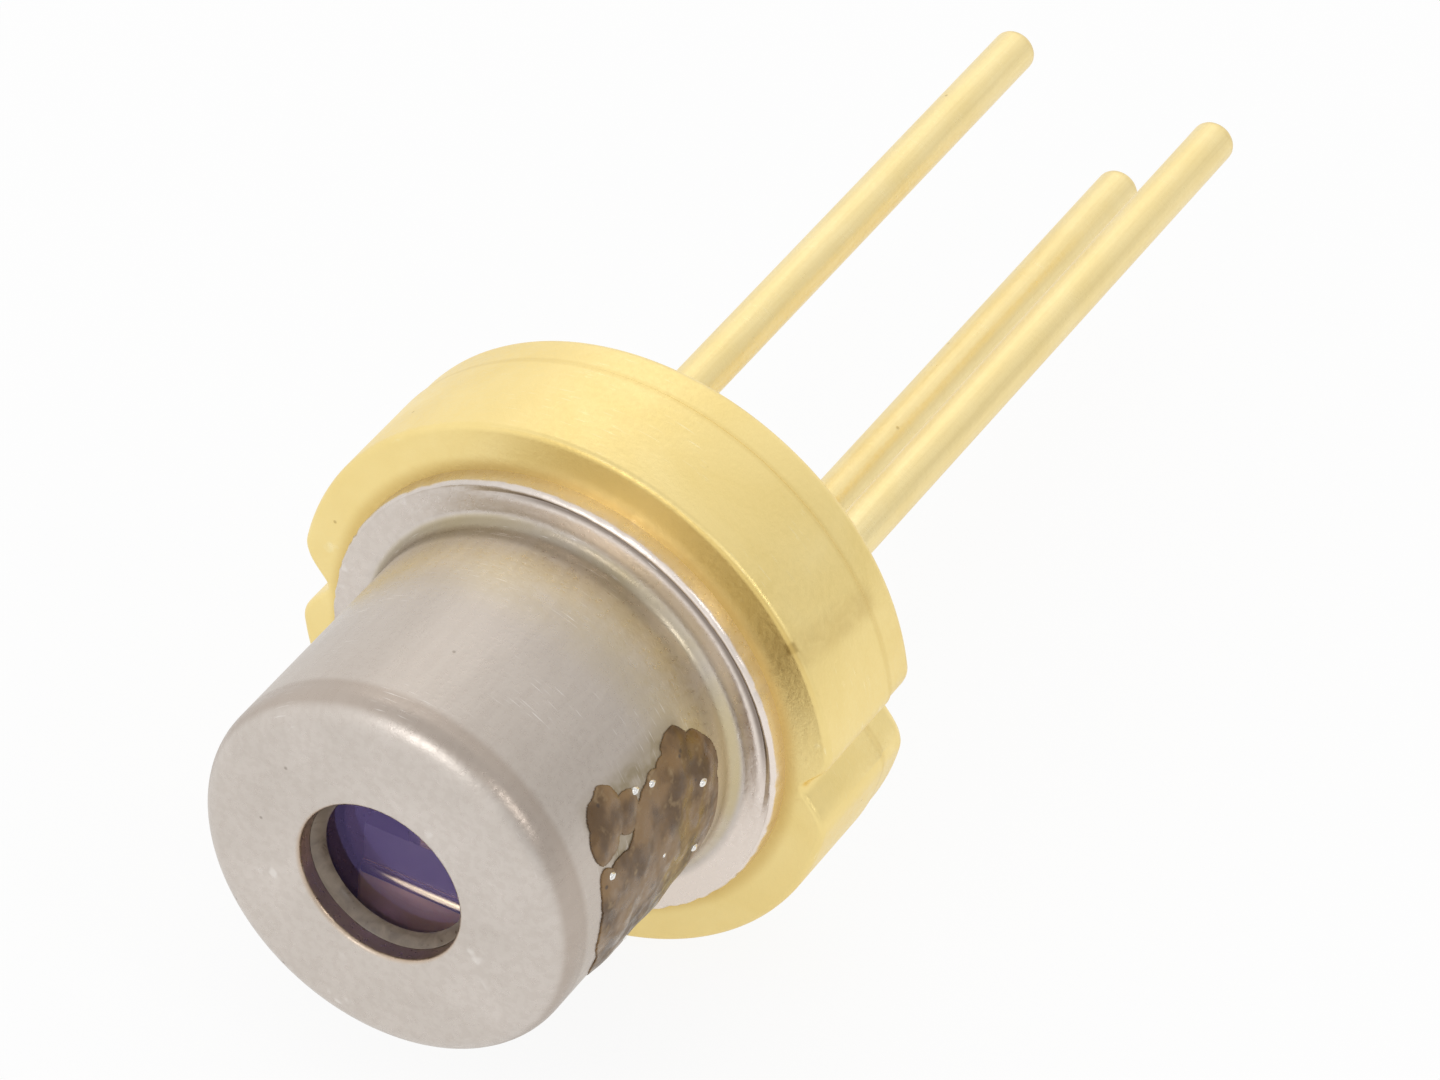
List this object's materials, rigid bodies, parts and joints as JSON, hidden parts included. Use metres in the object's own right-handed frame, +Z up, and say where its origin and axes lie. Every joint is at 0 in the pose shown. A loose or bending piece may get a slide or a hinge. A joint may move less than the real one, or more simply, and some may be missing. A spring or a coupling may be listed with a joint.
{
  "type": "laser diode",
  "caption": "Small laser diode in a round metal can: gold-plated notched stem, nickel cap with a round window, and straight leads behind.",
  "frame": {"origin": "centre of the stem's front reference face, on the axis of the can", "axes": "the beam leaves along -Y, the leads run along +Y, +Z is up as it lies on its rim with the square key notch underneath, the laser lead is at -X and the monitor lead at +X"},
  "size_m": [0.0038, 0.0095, 0.0038],
  "materials": {
    "gold_stem": "satin gold plating on steel",
    "gold_lead": "gold plating on drawn wire",
    "gold_wire": "bright gold wire",
    "nickel_cap": "satin nickel plating",
    "window_glass": "violet anti-reflection coating",
    "solder_glass": "fired glass, satin",
    "seal_glass": "fired glass, glossy",
    "copper_sink": "copper with a thin gold flash",
    "braze": "satin braze",
    "solder": "satin solder",
    "submount_ceramic": "metallised ceramic",
    "laser_crystal": "cleaved crystal, glossy",
    "silicon": "polished silicon"
  },
  "bodies": {
    "root": {"stem": "gold_stem", "cap": "nickel_cap", "window": "window_glass", "window_frit": "solder_glass", "laser_lead": "gold_lead", "monitor_lead": "gold_lead", "common_lead": "gold_lead", "laser_lead_seal": "seal_glass", "monitor_lead_seal": "seal_glass", "common_lead_braze": "braze", "heat_sink": "copper_sink", "heat_sink_braze": "braze", "submount": "submount_ceramic", "submount_solder": "solder", "laser_chip": "laser_crystal", "chip_solder": "solder", "monitor_photodiode": "silicon", "photodiode_solder": "solder", "chip_wire": "gold_wire", "submount_wire": "gold_wire", "photodiode_wire": "gold_wire"}
  },
  "joints": []
}
